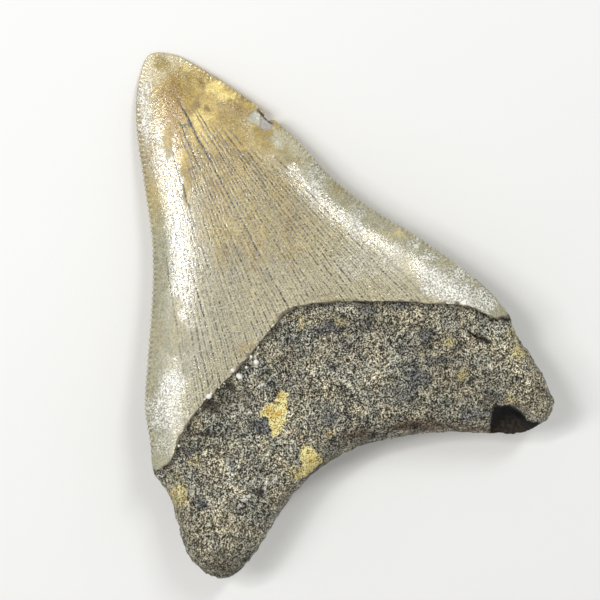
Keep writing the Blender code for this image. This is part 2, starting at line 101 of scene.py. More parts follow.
# Stains and patches, and spots of painted light and shade: middle x, y, half width and half height along axes
# turned by SPOT_TURN, and how strong they are if they are weaker than 1.
SPOT_TURN = math.radians(28.0)
ENAMEL_SPOTS = {
    "tan": (
        (-0.9, 69.1, 1.7, 4.4), (-2.7, 64.7, 1.1, 2.2, 0.7), (-7.0, 49.3, 1.1, 2.2, 0.4),
        (-0.4, 41.6, 1.4, 3.6, 0.45), (-19.8, 38.1, 1.7, 2.4, 0.35), (-8.6, 30.1, 2.2, 0.9, 0.6),
        (-7.5, 66.9, 0.8, 2.5, 0.4), (-1.3, 53.9, 0.9, 1.1, 0.5), (6.4, 44.1, 1.1, 3.6, 0.45),
        (-7.4, 64.7, 0.6, 3.2, 0.5),
    ),
    "yellow": (
        (6.2, 67.7, 1.7, 0.9), (7.1, 65.7, 1.9, 1.3), (1.8, 64.8, 1.1, 2.7, 0.8), (7.3, 64.7, 0.9, 0.9),
        (5.3, 68.7, 0.9, 0.9, 0.7), (1.3, 61.8, 0.9, 2.5, 0.6), (9.1, 56.1, 1.1, 0.9, 0.5),
        (4.0, 73.0, 1.7, 1.3, 0.4), (19.8, 34.6, 2.4, 0.9, 0.4),
    ),
    "olive": (
        (0.5, 75.2, 1.1, 0.9), (6.6, 61.9, 2.2, 2.0), (8.0, 58.3, 1.9, 1.3, 0.9), (2.2, 66.9, 0.9, 0.9, 0.9),
        (-0.8, 60.3, 1.1, 1.1, 0.8), (1.6, 57.7, 1.1, 0.9, 0.9), (-5.2, 44.2, 1.4, 2.2, 0.6),
        (11.4, 52.4, 1.1, 1.4, 0.8), (10.6, 54.4, 1.3, 0.9, 0.6), (8.8, 55.9, 0.9, 1.1, 0.9),
        (4.0, 39.3, 0.9, 2.8, 0.4), (15.4, 45.0, 1.3, 0.9, 0.5), (6.7, 49.3, 0.9, 0.9, 0.5),
    ),
    "brown": (
        (4.5, 69.5, 0.9, 1.0, 0.9), (7.3, 63.7, 0.8, 0.9, 0.9), (3.5, 65.3, 1.0, 0.5), (6.7, 64.8, 0.5, 0.5),
        (7.4, 62.4, 0.5, 0.5, 0.9), (5.9, 31.3, 1.1, 0.9, 0.9), (2.6, 73.1, 0.5, 0.5, 0.8),
        (2.2, 67.0, 0.5, 0.6, 0.8), (1.7, 57.6, 0.5, 0.7, 0.7),
    ),
    "grey": (
        (-0.1, 73.3, 0.9, 0.9, 0.5), (-4.6, 42.4, 1.7, 4.1, 0.6), (16.0, 39.9, 1.7, 1.1, 0.7),
        (14.2, 47.8, 2.5, 1.7, 0.5), (-16.4, 44.1, 0.8, 1.7, 0.7), (-13.5, 48.6, 0.8, 1.7, 0.6),
        (15.5, 43.7, 1.7, 1.3, 0.6), (-17.4, 33.2, 3.0, 3.4, 0.6), (17.4, 37.7, 2.5, 0.9, 0.5),
    ),
    "bleached": ((11.7, 56.3, 1.7, 1.5), (12.9, 53.4, 2.0, 1.7)),
    "scratch": ((-0.7, 64.8, 1.0, 0.35), (0.1, 65.0, 0.4, 0.3, 0.8)),
    # Spots of rougher, hazy enamel whose white speckles are a painted sparkle of highlight.
    "frost_and_painted_sparkle": (
        (24.0, 22.6, 3.0, 2.4), (27.2, 19.3, 1.8, 2.0, 0.9), (21.4, 25.8, 2.2, 2.0, 0.9),
        (15.2, 39.2, 1.3, 3.6, 0.6), (12.6, 47.4, 1.3, 4.2, 0.6), (-24.6, 27.4, 2.6, 3.6, 0.75),
        (-26.6, 23.2, 1.6, 2.4, 0.5), (-21.6, 30.6, 2.0, 2.6, 0.9), (12.6, 33.4, 4.4, 2.8, 0.4),
        (17.6, 31.6, 2.2, 2.6, 0.5), (25.6, 25.2, 1.7, 1.0, 0.8), (23.4, 29.2, 1.5, 1.0, 0.7),
        (21.6, 32.3, 1.3, 0.9, 0.6), (-4.3, 72.2, 1.2, 2.4, 0.75), (-6.4, 67.8, 1.0, 3.0, 0.75),
    ),
    "dull": (
        (-18.0, 36.6, 4.6, 3.0, 0.85), (-20.0, 39.0, 3.0, 2.2, 0.5), (-21.5, 33.8, 3.0, 1.4, 0.6),
        (-15.2, 41.4, 2.6, 2.2, 0.5), (-16.4, 39.6, 1.4, 1.8, 0.8), (-18.4, 31.8, 1.2, 2.4, 0.7),
        (-4.5, 63.6, 0.9, 3.4, 0.6), (-4.7, 57.3, 0.9, 4.6, 0.9), (9.0, 57.4, 2.2, 3.2),
        (10.6, 53.6, 1.6, 2.2, 0.8), (12.4, 50.4, 1.6, 2.4, 0.4), (18.8, 30.6, 1.8, 2.2, 0.45),
        (16.4, 28.6, 2.4, 2.2, 0.4),
    ),
}
ROOT_SPOTS = {
    # Broad areas painted darker as painted shade.
    "dim": (
        (-14.0, 24.4, 3.2, 1.8, 0.9), (17.6, 12.6, 3.4, 4.6, 0.8), (21.8, 5.2, 3.4, 2.6),
        (15.4, 18.6, 2.6, 2.2, 0.7), (-23.0, 21.4, 2.2, 1.5, 0.8), (-28.0, 1.6, 2.6, 2.8, 0.9),
        (9.0, 25.4, 6.5, 1.2, 0.7), (26.4, 16.6, 2.2, 1.0, 0.7), (-4.6, 21.4, 2.4, 1.8, 0.4),
        (5.0, 9.6, 6.0, 1.3, 0.8), (-3.6, 26.6, 2.4, 1.6, 0.6), (12.0, 8.4, 4.0, 1.8, 0.6),
        (-5.0, 11.6, 2.6, 1.8, 0.8), (-6.4, 8.6, 3.6, 1.8, 0.7), (0.4, 9.6, 3.4, 1.6, 0.8),
        (14.6, 10.4, 2.2, 2.0, 0.5),
    ),
    # Broad areas painted lighter as painted light.
    "lit": (
        (-20.0, 14.0, 3.4, 3.2, 0.9), (2.4, 19.6, 4.6, 2.6, 0.8), (-12.6, 13.6, 2.2, 2.2, 0.8),
        (26.2, 11.6, 2.6, 3.4, 0.8), (26.2, 5.4, 2.0, 2.6, 0.7), (-25.4, 8.6, 2.2, 3.2, 0.4),
        (8.4, 17.4, 2.6, 2.2, 0.6), (-8.4, 16.0, 3.0, 3.0, 0.5), (21.6, 13.6, 1.6, 2.6, 0.6),
        (-10.8, 22.8, 2.4, 1.8, 0.9), (-15.2, 17.8, 1.8, 1.6, 0.7), (14.8, 21.6, 1.5, 1.3, 0.7),
    ),
    "ochre": (
        (-13.0, 15.7, 1.3, 1.3, 0.5), (-11.1, 9.7, 1.7, 1.3, 0.6), (-28.6, 14.8, 1.4, 2.1, 0.8),
        (-27.6, 18.0, 1.9, 1.1, 0.4), (-23.7, 18.7, 0.7, 1.3, 0.6), (-3.9, 12.1, 0.6, 0.8, 0.6),
        (0.8, 28.8, 0.8, 0.9, 0.7), (1.3, 30.1, 0.6, 0.8, 0.7), (6.0, 27.1, 1.3, 0.6, 0.6),
        (19.5, 16.0, 1.1, 0.6, 0.7), (14.2, 16.6, 0.5, 0.6, 0.7), (18.9, 11.3, 1.3, 1.3, 0.6),
        (28.6, 11.5, 0.9, 1.7, 0.8), (27.9, 9.7, 1.6, 1.3, 0.8), (28.9, 13.5, 0.6, 0.8, 0.6),
        (24.2, 3.3, 1.4, 0.6, 0.6), (26.2, 16.2, 0.7, 0.4, 0.6), (-20.4, 23.3, 1.3, 1.1, 0.5),
        (3.6, 10.1, 1.4, 0.8, 0.4), (3.3, 16.3, 0.6, 0.6, 0.5), (-18.8, 13.5, 0.6, 0.9, 0.5),
    ),
    "pale": (
        (-15.8, 9.9, 0.5, 0.9), (-14.1, 10.4, 0.3, 0.7), (-20.8, 9.7, 0.5, 0.6), (-19.6, 9.9, 0.6, 0.4, 0.8),
        (-9.4, 24.1, 0.6, 0.5, 0.8), (-16.5, 9.0, 0.4, 0.4, 0.7), (10.1, 13.5, 0.6, 0.3, 0.6),
        (20.9, 3.2, 0.4, 0.3, 0.8), (23.7, 10.7, 0.3, 0.3, 0.8),
    ),
    "blue": (
        (-12.3, 18.5, 1.6, 1.2), (-15.4, 19.0, 1.9, 0.8, 0.6), (-18.7, 15.4, 0.9, 1.4, 0.7),
        (-25.9, 12.2, 1.1, 0.9), (3.6, 27.3, 1.6, 1.1), (5.5, 25.8, 0.9, 0.9, 0.8), (10.9, 26.3, 1.7, 1.1),
        (15.5, 24.2, 1.3, 0.8, 0.8), (1.7, 20.8, 1.4, 1.1, 0.7), (8.5, 13.2, 3.6, 2.5, 0.7),
        (12.2, 13.9, 1.1, 1.9, 0.9), (-2.5, 14.1, 1.3, 1.3, 0.9), (-7.9, 23.2, 1.4, 0.8, 0.8),
        (16.8, 19.0, 1.3, 1.7), (16.0, 14.8, 3.0, 1.1, 0.8), (12.8, 13.5, 2.2, 1.3, 0.8),
        (17.8, 4.7, 3.0, 0.9, 0.8), (-10.3, 27.0, 0.9, 0.9, 0.7), (-24.0, 20.7, 0.9, 1.3, 0.6),
        (-19.2, 21.4, 1.4, 0.8, 0.5), (20.8, 7.4, 1.6, 0.9, 0.6),
    ),
    # Spots painted nearly black: mostly painted shade in the pits and along the enamel's end, and a few dark
    # stains.
    "dark": (
        (-17.9, 24.5, 1.7, 0.9), (-13.9, 26.1, 1.4, 0.8), (-20.5, 21.0, 1.3, 0.6), (-17.7, 9.7, 2.1, 0.6),
        (2.4, 9.3, 0.7, 0.4), (8.6, 7.1, 0.4, 0.3), (26.1, 6.3, 0.6, 0.3), (28.1, 3.5, 0.3, 0.3),
        (26.1, 4.8, 0.6, 0.3, 0.7), (11.2, 27.5, 1.9, 0.3, 0.8), (27.3, 15.9, 2.1, 0.3, 0.8),
        (4.0, 31.2, 1.9, 0.5, 0.6), (16.6, 17.0, 0.8, 0.3, 0.9), (20.1, 14.8, 1.1, 0.3, 0.6),
        (-6.1, 12.7, 0.4, 0.3, 0.9), (15.1, 6.1, 0.3, 0.3, 0.9), (13.4, 5.9, 1.4, 0.5, 0.5),
    ),
    "rust": (
        (0.3, 10.2, 4.0, 1.0, 0.7), (8.8, 7.2, 6.0, 0.9, 0.8), (6.4, 10.2, 3.2, 0.6, 0.5),
        (-28.1, 19.5, 1.9, 0.8, 0.5), (-28.1, 17.5, 0.8, 0.9, 0.6), (15.9, 2.1, 4.0, 0.5, 0.8),
        (-27.6, 2.4, 2.4, 2.4, 0.5), (14.0, 4.6, 4.0, 0.8, 0.6),
    ),
}
# The outlines of the two big ochre patches.
OCHRE_PATCHES = (
    ((-6.8, 21.8), (-6.1, 20.7), (-7.6, 18.9), (-8.6, 17.3), (-10.3, 16.2), (-11.7, 15.8), (-11.3, 17.3),
     (-11.0, 18.9), (-11.7, 20.2), (-11.2, 20.8), (-9.4, 20.9), (-8.2, 21.5)),
    ((-7.9, 12.8), (-7.0, 11.8), (-6.3, 10.1), (-6.6, 9.0), (-8.2, 8.4), (-10.2, 8.1), (-11.8, 8.7),
     (-9.8, 10.2), (-9.4, 11.7)),
)
# What has broken out of the root: the deep recess in the right lobe, a slit and small pits.
RECESS = (
    (18.2, 0.5), (20.7, 4.2), (23.2, 3.1), (24.3, 1.2), (24.6, -0.3), (25.8, -1.4),
    (26.4, -3.0), (24.0, -6.0), (18.0, -6.0), (16.0, -1.5),
)
# The recess's top wall, along which its inside is painted black as a shadow.
RECESS_TOP = ((20.4, 3.2), (22.0, 3.4), (23.3, 2.8), (24.6, 1.0), (26.2, -1.6))
RECESS_DEPTH = 1.9
SLIT = ((22.7, 16.3), (23.5, 15.0), (24.2, 14.2), (24.9, 13.3))
# The chip in the right cutting edge: two flat facets that meet in a sunk line painted dark as shade. Each is
# a polygon, its depth at its outer side, and how light it is painted from 0 to 1, as painted light and shade.
CHIP_FACETS = (
    (((7.7, 61.3), (9.6, 62.1), (10.6, 61.9), (10.3, 61.0), (9.9, 60.3), (9.1, 59.4)), 0.3, 0.75),
    (((10.3, 61.2), (10.9, 60.2), (11.6, 59.2), (10.7, 58.3), (9.8, 58.3), (9.0, 59.2), (9.8, 60.4)),
     0.45, 0.35),
)
CHIP_LINE = ((10.1, 61.7), (10.3, 61.1), (10.5, 60.4), (10.7, 59.7), (11.0, 59.0))
PITS = (
    (26.1, 6.3, 0.55, 0.5), (25.3, 9.9, 0.35, 0.3), (8.6, 7.2, 0.45, 0.4), (2.4, 9.3, 0.5, 0.4),
    (-24.4, 1.1, 0.6, 0.6), (-6.1, 12.7, 0.35, 0.35), (28.1, 3.5, 0.3, 0.3), (15.1, 6.1, 0.3, 0.3),
    (-17.0, 9.4, 0.5, 0.35), (16.6, 17.0, 0.5, 0.25), (-20.6, 21.0, 0.4, 0.3),
)
# Pale grains of sand stuck along the left part of the enamel's end: x, y and radius.
GRAINS = (
    (-8.4, 27.5, 0.4), (-11.7, 26.8, 0.48), (-10.1, 27.5, 0.24), (-17.3, 26.3, 0.4), (-16.8, 26.5, 0.26),
    (-12.2, 28.1, 0.3), (-18.1, 26.2, 0.15), (-19.4, 25.2, 0.14), (-8.0, 30.5, 0.16), (-7.3, 29.8, 0.2),
    (-6.1, 31.1, 0.12), (-5.1, 30.6, 0.14), (-1.7, 33.2, 0.12), (-8.7, 28.6, 0.26), (-7.0, 29.4, 0.14),
    (-3.4, 31.3, 0.12), (-9.1, 28.7, 0.22), (-25.0, 21.7, 0.22), (-14.3, 26.9, 0.13), (-15.3, 26.7, 0.12),
)
# Hairline cracks that fan out from the tip: their places across the tooth at the height FAN_HEIGHT, by how
# much they close in for each millimetre above it, and the height where the middle ones start.
CRACKS = (
    -16.0, -14.6, -13.6, -12.0, -10.6, -9.3, -8.0, -6.9, -5.5, -4.2, -3.0, -1.8, -0.1,
    1.3, 2.8, 3.7, 4.6, 5.3, 6.6, 8.0, 9.0, 10.2, 11.0, 11.8, 13.2, 16.0,
)
FAN_HEIGHT, FAN_NARROWING = 44.0, 0.0235
CRACKS_START = 70.5
# The main cracks, finer ones between them and the finest ones low down: how many for each main crack, their
# shift, half width in mm, strength, and how much lower they start.
CRACK_FAMILIES = ((1, 0.0, 0.125, 1.0, 0.0), (1, 0.5, 0.100, 0.9, 6.0), (2, 0.5, 0.064, 0.6, 16.0))

# The camera looks square onto the tooth's plane: the middle of its view, how wide the view is there and how
# far off it stands, all in millimetres, and how far it is turned on its own axis.
CAMERA_TARGET = (2.08, 32.79, -3.0)
CAMERA_WIDTH = 93.0
CAMERA_DISTANCE = 520.0
CAMERA_ROLL = math.radians(28.0)

# The soft lights: how many degrees each leans off the plane's Z axis, to the right and to the tip, its turn
# on its own axis in degrees, its distance and size in metres, its power in watts and its colour.
WINDOWS = {
    "left_window": ((-20.6, 11.3), 14, 0.55, (0.26, 0.092), 1.02, (1.0, 1.0, 1.0)),
    "tip_window": ((-14.0, 14.8), 35, 0.55, (0.085, 0.028), 0.36, (1.0, 1.0, 0.99)),
    "right_window": ((25.0, 9.4), 3, 0.6, (0.195, 0.058), 0.78, (0.98, 1.0, 1.0)),
}
SKY_COLOUR, SKY_STRENGTH = (1.0, 0.99, 0.97, 1.0), 0.43
FLOOR_SIZE = 3.0


# ---------- lines and fields
def smooth_line(points, steps=12, closed=False):
    """A dense smooth line through the points."""
    points = np.array(points, float)
    if closed:
        padded = np.vstack([points[-1], points, points[:2]])
    else:
        padded = np.vstack([2 * points[0] - points[1], points, 2 * points[-1] - points[-2]])
    dense = []
    for a, b, c, d in zip(padded, padded[1:], padded[2:], padded[3:]):
        t = np.linspace(0, 1, steps, endpoint=False)[:, None]
        dense.append(b + 0.5 * t * (c - a + t * (2 * a - 5 * b + 4 * c - d + t * (3 * (b - c) + d - a))))
    if not closed:
        dense.append(points[-1:])
    return np.vstack(dense)


def nearest_on(line, p):
    """The distance from each place to a dense line, and the number of the line's nearest point."""
    distance, nearest = np.empty(len(p)), np.empty(len(p), int)
    for start in range(0, len(p), BLOCK):
        block = slice(start, start + BLOCK)
        squares = ((p[block, None, :2] - line[None, :, :2]) ** 2).sum(-1)
        nearest[block] = squares.argmin(1)
        distance[block] = np.sqrt(squares.min(1))
    return distance, nearest


def above(points, p):
    """Signed distance from a line that runs from left to right: positive towards the tip."""
    line = smooth_line(points)
    distance, _ = nearest_on(line, p)
    return np.where(p[:, 1] > np.interp(p[:, 0], line[:, 0], line[:, 1]), distance, -distance)


def crown_foot(x):
    """The height of the line between the crown's two feet."""
    return np.interp(x, (LEFT_FOOT[0], RIGHT_FOOT[0]), (LEFT_FOOT[1], RIGHT_FOOT[1]))


def smooth_step(t):
    """Rises from 0 to 1 with soft ends while t does."""
    t = np.clip(t, 0.0, 1.0)
    return t * t * (3.0 - 2.0 * t)


def ripple(values, size, seed):
    """Smooth noise between -1 and 1 along one number or over a list of places."""
    values = np.atleast_2d(np.asarray(values, float).T).T / size
    padded = np.zeros((len(values), 3))
    padded[:, : values.shape[1]] = values
    return np.array([noise.noise(Vector((x, y, z + seed))) for x, y, z in padded])


def vectors(items, name):
    """One vector for each of a mesh's vertices or faces."""
    values = np.empty(len(items) * 3, np.float32)
    items.foreach_get(name, values)
    return values.reshape(-1, 3)


def to_plane(places):
    m = np.array(TO_PLANE)
    return places.astype(float) / MM @ m[:3, :3].T + m[:3, 3]


def in_plane(mesh):
    """The mesh's vertices in the tooth's own plane, in millimetres."""
    return to_plane(vectors(mesh.vertices, "co"))


def face_middles(mesh):
    return to_plane(vectors(mesh.polygons, "center"))


def put_in_plane(mesh, p):
    m = np.array(FROM_PLANE)
    mesh.vertices.foreach_set("co", ((p @ m[:3, :3].T + m[:3, 3]) * MM).astype(np.float32).ravel())
    mesh.update()


def write_field(mesh, name, values):
    field = mesh.attributes.get(name) or mesh.attributes.new(name, "FLOAT", "POINT")
    field.data.foreach_set("value", np.asarray(values, np.float32))


def read_field(mesh, name):
    values = np.empty(len(mesh.vertices), np.float32)
    mesh.attributes[name].data.foreach_get("value", values)
    return values.astype(float)


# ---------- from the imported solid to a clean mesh
def put_in_scene(name, data):
    holder = bpy.data.objects.new(name, data)
    bpy.context.scene.collection.objects.link(holder)
    return holder


def mode(name):
    bpy.ops.object.mode_set(mode=name)


def only(obj):
    """Makes this object the only one that the operators work on."""
    bpy.ops.object.select_all(action="DESELECT")
    obj.select_set(True)
    bpy.context.view_layer.objects.active = obj


def merged_copy(name):
    """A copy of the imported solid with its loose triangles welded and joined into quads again."""
    piece = put_in_scene(name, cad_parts["tooth"].data.copy())
    piece.data.materials.clear()
    only(piece)
    if piece.data.has_custom_normals:
        bpy.ops.mesh.customdata_custom_splitnormals_clear()
    mode("EDIT")
    bpy.ops.mesh.select_all(action="SELECT")
    bpy.ops.mesh.remove_doubles(threshold=WELD)
    bpy.ops.mesh.tris_convert_to_quads(
        face_threshold=math.radians(60), shape_threshold=math.pi, topology_influence=1.0
    )
    mode("OBJECT")
    return piece


def labial_faces(mesh):
    """Whether each face belongs to the labial side. Small patches that lean the other way join the rest."""
    up = (FROM_PLANE.to_3x3() @ Vector((0, 0, 1))).normalized()
    labial = [face.normal.dot(up) > 0 for face in mesh.polygons]
    by_edge = {}
    for face in mesh.polygons:
        for key in face.edge_keys:
            by_edge.setdefault(key, []).append(face.index)
    beside = [[] for _ in mesh.polygons]
    for a, b in by_edge.values():
        beside[a].append(b)
        beside[b].append(a)
    for _ in range(3):
        seen = set()
        for first in range(len(labial)):
            if first in seen:
                continue
            patch, waiting = {first}, [first]
            while waiting:
                for face in beside[waiting.pop()]:
                    if face not in patch and labial[face] == labial[first]:
                        patch.add(face)
                        waiting.append(face)
            seen |= patch
            if len(patch) < SMALL_PATCH:
                for face in patch:
                    labial[face] = not labial[face]
    return np.array(labial), by_edge


def rim_loop(labial, by_edge):
    """The vertices of the widest outline, where the labial face meets the lingual one, in order."""
    near = {}
    for (a, b), (one, other) in by_edge.items():
        if labial[one] != labial[other]:
            near.setdefault(a, []).append(b)
            near.setdefault(b, []).append(a)
    loop, last = [min(near)], None
    for _ in range(len(near)):
        ahead = next(i for i in near[loop[-1]] if i != last)
        if ahead == loop[0]:
            break
        last = loop[-1]
        loop.append(ahead)
    return loop


class Rim:
    """The tooth's outline without its saw teeth, as a dense line that runs round from the left lobe."""

    def __init__(self, mesh, loop):
        p = in_plane(mesh)[loop]
        # It starts at the end of the left lobe and runs up the left edge first.
        p = np.roll(p, -int(np.argmin(p[:, 0] + 2 * p[:, 1])), axis=0)
        if p[5, 0] > p[0, 0]:
            p = p[::-1]
        following = np.roll(p, -1, 0)
        on_saw = np.linalg.norm(following - p, axis=1) <= LONGEST_SAW_STEP
        p = np.where(on_saw[:, None], (p + following) / 2, p)
        self.line = smooth_line(p, steps=6, closed=True)
        ahead = np.roll(self.line, -1, 0) - np.roll(self.line, 1, 0)
        ahead[:, 2] = 0
        ahead /= np.linalg.norm(ahead, axis=1)[:, None]
        self.out = np.stack([-ahead[:, 1], ahead[:, 0], 0 * ahead[:, 0]], -1)
        lengths = np.linalg.norm(np.roll(self.line, -1, 0) - self.line, axis=1)
        self.along = np.concatenate([[0], np.cumsum(lengths[:-1])])
        self.total = float(lengths.sum())
        self.saw = self.saw_numbers(lengths)

    def saw_numbers(self, lengths):
        """Counts the saw's teeth along the line. It only counts on the crown."""
        shorter = smooth_step((self.line[:, 1] - SAW_SHORTER_FROM) / 2.5)
        pitch = SAW_PITCH + (SAW_PITCH_AT_TIP - SAW_PITCH) * shorter
        pitch = pitch * (1 + 0.18 * ripple(self.along, 2.1, 3.3) + 0.22 * ripple(self.along, 0.9, 6.1))
        return np.cumsum(lengths / pitch)

    def sawn(self):
        """How strongly the line is sawn: not on the root or at the chip, and less on the right edge."""
        x, y = self.line[:, 0], self.line[:, 1]
        crown = smooth_step((y - crown_foot(x) - 0.6) / 2.0)
        # The right edge is worn, most of all at its foot and from the chip up.
        worn = 0.6 + 0.3 * smooth_step((y - 26.0) / 10.0) - 0.25 * smooth_step((y - 53.0) / 8.0)
        worn = np.where(x > 0, worn, 1.0)
        tip = 1.0 - 0.55 * smooth_step((y - 66.0) / 8.0)
        from_gap = np.hypot(x - SAW_GAP_MIDDLE[0], y - SAW_GAP_MIDDLE[1])
        chip = smooth_step((from_gap - SAW_GAP_RADIUS) / 1.4)
        uneven = 0.85 + 0.45 * ripple(self.along, 1.3, 8.1) + 0.55 * ripple(self.along, 0.55, 2.7)
        return crown * worn * tip * chip * np.clip(uneven, 0.15, 1.4)


def prepare(piece):
    """Marks the rim and the two sides on the coarse mesh, and gives back the rim's line and the sides."""
    mesh = piece.data
    labial, by_edge = labial_faces(mesh)
    loop = rim_loop(labial, by_edge)
    edge = np.zeros(len(mesh.vertices))
    edge[loop] = 1.0
    side = np.zeros(len(mesh.vertices))
    for face, is_labial in zip(mesh.polygons, labial):
        side[list(face.vertices)] += 1.0 if is_labial else -1.0
    write_field(mesh, "edge", edge)
    write_field(mesh, "side", np.where(edge > 0, 0.0, np.sign(side)))
    p = in_plane(mesh)
    on_crown = p[:, 1] - crown_foot(p[:, 0]) > -0.2
    keys = {tuple(sorted(pair)) for pair in zip(loop, loop[1:] + loop[:1])}
    crease = mesh.attributes.new("crease_edge", "FLOAT", "EDGE")
    for e in mesh.edges:
        if tuple(sorted(e.vertices)) in keys and all(on_crown[i] for i in e.vertices):
            crease.data[e.index].value = CUTTING_EDGE_CREASE
    return Rim(mesh, loop), labial


def select_faces(piece, chosen):
    """Goes into edit mode with only these faces selected."""
    only(piece)
    mode("EDIT")
    bpy.ops.mesh.select_mode(type="FACE")
    bpy.ops.mesh.select_all(action="DESELECT")
    mode("OBJECT")
    piece.data.polygons.foreach_set("select", chosen)
    mode("EDIT")


def delete_faces(piece, unwanted):
    select_faces(piece, unwanted)
    bpy.ops.mesh.delete(type="FACE")
    mode("OBJECT")


def from_enamel_end(labial, p):
    """Signed distance from the end of the enamel on each side: positive on the enamel."""
    return np.where(labial, above(LABIAL_ENAMEL_END, p), above(LINGUAL_ENAMEL_END, p))


def smooth(piece):
    only(piece)
    smoothing = piece.modifiers.new("smoothing", "SUBSURF")
    smoothing.levels = SMOOTHING
    smoothing.boundary_smooth = "ALL"
    bpy.ops.object.modifier_apply(modifier=smoothing.name)


def divide_faces(piece, chosen):
    select_faces(piece, chosen)
    bpy.ops.mesh.subdivide()
    mode("OBJECT")


def cap_open_end(piece, depth):
    """Closes the open end: a wall that runs down into the tooth from the broken edge, and a hidden cap."""
    only(piece)
    mode("EDIT")
    bpy.ops.mesh.select_mode(type="EDGE")
    bpy.ops.mesh.select_all(action="DESELECT")
    bpy.ops.mesh.select_non_manifold(extend=False, use_wire=False, use_multi_face=False, use_verts=False)
    bpy.ops.mesh.extrude_edges_move()
    mode("OBJECT")
    mesh = piece.data
    ends = np.zeros(len(mesh.vertices), bool)
    mesh.vertices.foreach_get("select", ends)
    p = in_plane(mesh)
    side = np.sign(read_field(mesh, "side"))
    p[ends, 2] -= depth * side[ends]
    p[ends, 1] += 0.25 * depth
    put_in_plane(mesh, p)
    mode("EDIT")
    bpy.ops.mesh.edge_face_add()
    bpy.ops.mesh.quads_convert_to_tris()
    bpy.ops.mesh.select_all(action="SELECT")
    bpy.ops.mesh.normals_make_consistent()
    mode("OBJECT")
    if volume(mesh) < 0:
        mode("EDIT")
        bpy.ops.mesh.flip_normals()
        mode("OBJECT")


def volume(mesh):
    """Six times the volume that the faces enclose: negative when they face inwards."""
    total = 0.0
    for face in mesh.polygons:
        a, b, *others = (mesh.vertices[i].co for i in face.vertices)
        for c in others:
            total += a.dot(b.cross(c))
            b = c
    return total


def shape_rim(mesh, rim):
    """Brings the rim back onto the outline and cuts the saw into it, with grooves that fade inwards."""
    p = in_plane(mesh)
    edge, side = read_field(mesh, "edge"), read_field(mesh, "side")
    close = edge > 0.01
    _, nearest = nearest_on(rim.line, p[close])
    offset = ((p[close] - rim.line[nearest]) * rim.out[nearest]).sum(1)
    on_rim = edge[close] > 0.99
    order = np.argsort(rim.along[nearest[on_rim]])
    found = np.interp(
        rim.along[nearest], rim.along[nearest[on_rim]][order], offset[on_rim][order], period=rim.total
    )
    crest = np.abs(np.sin(np.pi * rim.saw))
    sawn = rim.sawn()
    target = (sawn * SAW_DEPTH * (crest - 0.6))[nearest]
    inward = edge[close]
    p[close] += rim.out[nearest] * ((target - found) * inward)[:, None]
    groove = (sawn * (1 - crest) ** 1.3)[nearest] * np.sin(np.pi * inward**0.8)
    p[close, 2] -= SAW_GROOVE * groove * np.sign(side[close])
    put_in_plane(mesh, p)
    uneven = np.clip(0.75 + 1.3 * ripple(rim.along, 0.7, 5.9), 0.0, 1.5)
    # The crest field is used to paint glints on the saw teeth, and the groove field to paint shade between
    # them.
    for name, share, start in (("crest", crest**3 * uneven, 0.35), ("groove", (1 - crest) ** 2, 0.1)):
        values = np.zeros(len(p))
        values[close] = (sawn * share)[nearest] * smooth_step((inward - start) / 0.6)
        write_field(mesh, name, values)


def roughen_border(mesh):
    """Breaks up the enamel's end into a ragged line."""
    used = {}
    for face in mesh.polygons:
        for key in face.edge_keys:
            used[key] = used.get(key, 0) + 1
    border = sorted({i for key, count in used.items() if count == 1 for i in key})
    p = in_plane(mesh)
    p[border, 1] += 0.4 * ripple(p[border], 1.3, 4.4) + 0.32 * ripple(p[border], 0.5, 9.4)
    put_in_plane(mesh, p)


def model_enamel():
    """The crown down to the enamel's end, and the rim line that the root is shaped to as well."""
    piece = merged_copy("enamel_crown")
    rim, labial = prepare(piece)
    mesh = piece.data
    delete_faces(piece, from_enamel_end(labial, face_middles(mesh)) < 0)
    smooth(piece)
    middles = face_middles(mesh)
    x, y = FINE_ENAMEL_MIDDLE
    near_chip = np.hypot(middles[:, 0] - x, middles[:, 1] - y) < FINE_ENAMEL_RADIUS
    divide_faces(piece, near_chip & (middles[:, 2] > FINE_ENAMEL_ABOVE))
    shape_rim(mesh, rim)
    carve_chip(mesh)
    roughen_border(mesh)
    p = in_plane(mesh)
    inward, _ = nearest_on(rim.line, p)
    write_field(mesh, "inward", inward)
    from_end = from_enamel_end(read_field(mesh, "side") >= 0, p)
    # Painted shade: the enamel is darkened along its end, where it meets the root.
    write_field(mesh, "enamel_end_shade", smooth_step((0.55 + 0.7 * ripple(p, 0.9, 3.3) - from_end) / 0.7))
    cap_open_end(piece, ENAMEL_WALL)
    write_stains(mesh, ENAMEL_SPOTS)
    return piece, rim


def carve_chip(mesh):
    """Breaks the chip out of the right cutting edge: two flat facets with painted light and shade, meeting in
    a line of painted shade.
    """
    p = in_plane(mesh)
    labial = read_field(mesh, "side") > -0.1
    chip, shade = np.zeros(len(p)), np.zeros(len(p))
    towards_edge = Vector((0.74, 0.67))
    for polygon, depth, tint in CHIP_FACETS:
        border = inside(polygon, p)
        corners = np.array(polygon) @ towards_edge
        outward = (p[:, :2] @ towards_edge - corners.min()) / np.ptp(corners)
        sunk = depth * (0.35 + 0.65 * np.clip(outward, 0, 1)) * smooth_step((border + 0.05) / 0.22)
        p[:, 2] -= sunk * labial
        here = smooth_step((border + 0.12) / 0.2) * labial
        shade = shade * (1 - here) + here * tint
        chip = np.maximum(chip, here)
    line, _ = nearest_on(smooth_line(CHIP_LINE), p)
    # The crease where the facets meet is sunk a little and painted dark as shade.
    dark = smooth_step((0.24 + 0.1 * ripple(p, 0.5, 3.1) - line) / 0.18) * labial
    p[:, 2] -= 0.25 * dark
    put_in_plane(mesh, p)
    write_field(mesh, "chip", chip)
    write_field(mesh, "chip_facet_light_and_shade", shade)
    write_field(mesh, "chip_crease_shade", dark)


